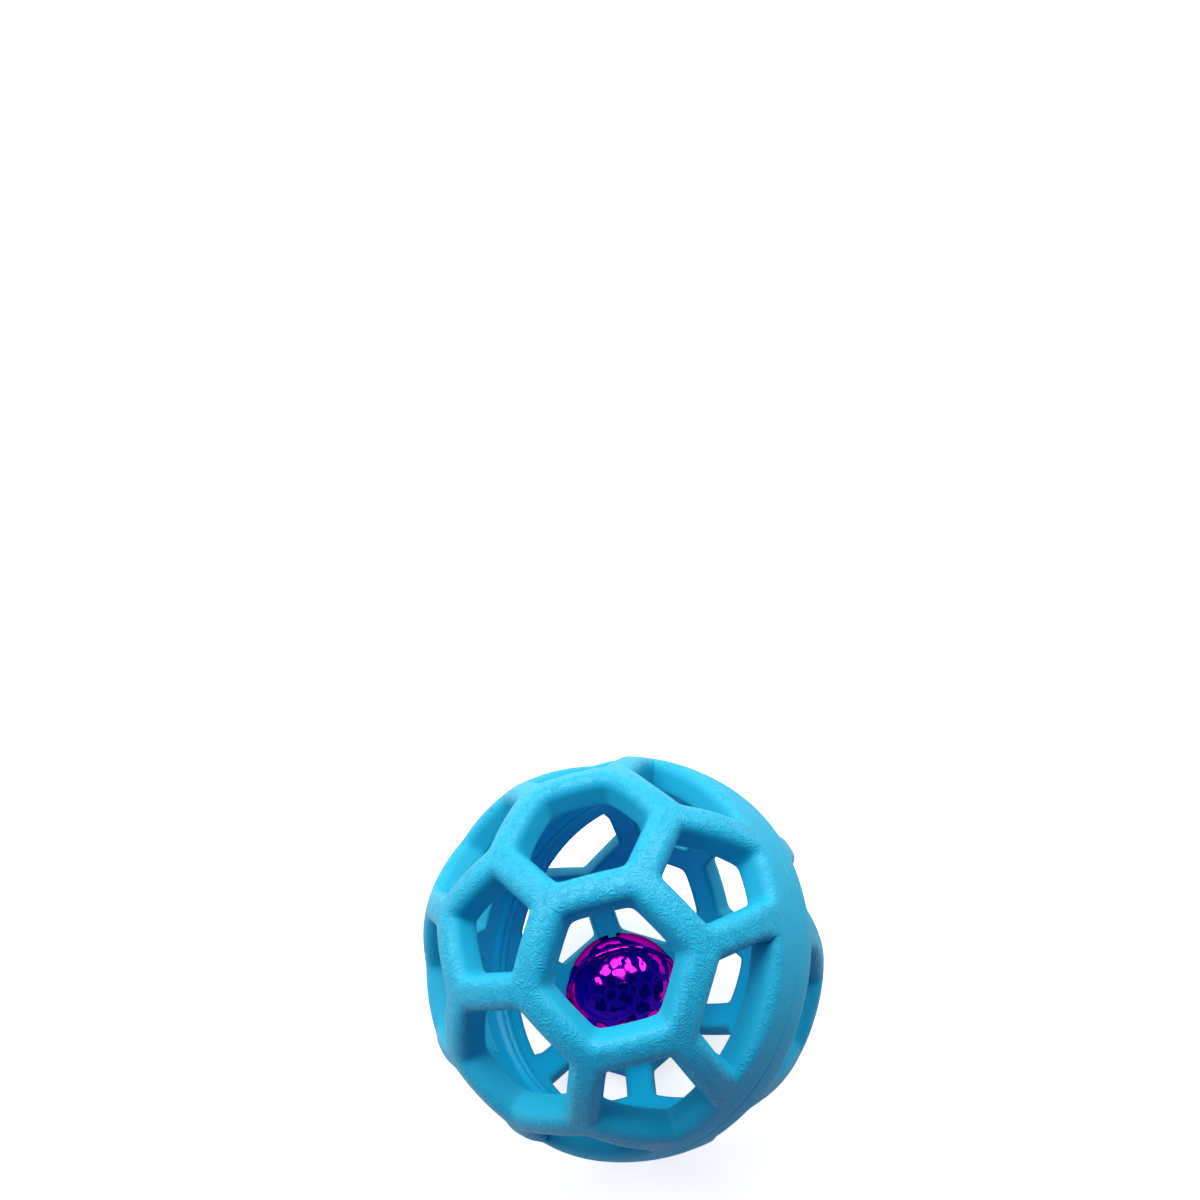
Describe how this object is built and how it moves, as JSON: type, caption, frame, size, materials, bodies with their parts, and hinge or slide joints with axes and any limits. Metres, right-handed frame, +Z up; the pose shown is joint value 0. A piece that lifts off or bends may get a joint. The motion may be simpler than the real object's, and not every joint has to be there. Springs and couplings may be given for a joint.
{
  "type": "jingle bell dog ball",
  "caption": "Hollow net-like rubber dog ball with hexagonal and pentagonal openings, a solid belt along its seam and a loose round jingle bell inside.",
  "frame": {"origin": "on the floor, under the ball's centre, in the middle of the six-sided rim that the ball lies on", "axes": "+Z up; the seam's belt runs along Y and is tipped about Y, so that the upper half's pole leans to -X; the picture looks down from the -Y side"},
  "size_m": [0.0747, 0.075, 0.0729],
  "materials": {
    "rubber": "satin, with a fine moulded crinkle on the outer faces",
    "bell_metal": "clear magenta lacquer over bright plated steel",
    "pellet_steel": "tumbled"
  },
  "bodies": {
    "ball": {"upper_half_shell": "rubber", "lower_half_shell": "rubber"},
    "bell": {"bell_crown_cup": "bell_metal", "bell_slotted_cup": "bell_metal", "bell_hanger": "bell_metal"},
    "pellet": {"bell_pellet": "pellet_steel"}
  },
  "joints": [
    {"name": "bell_hop", "type": "slide", "parent": "ball", "child": "bell", "axis": [0, 0, 1], "range_m": [0, 0.0424]},
    {"name": "pellet_roll", "type": "hinge", "parent": "bell", "child": "pellet", "pos_m": [0, 0, 0.01296], "axis": [0, -0.8988, 0.4384], "continuous": true}
  ]
}
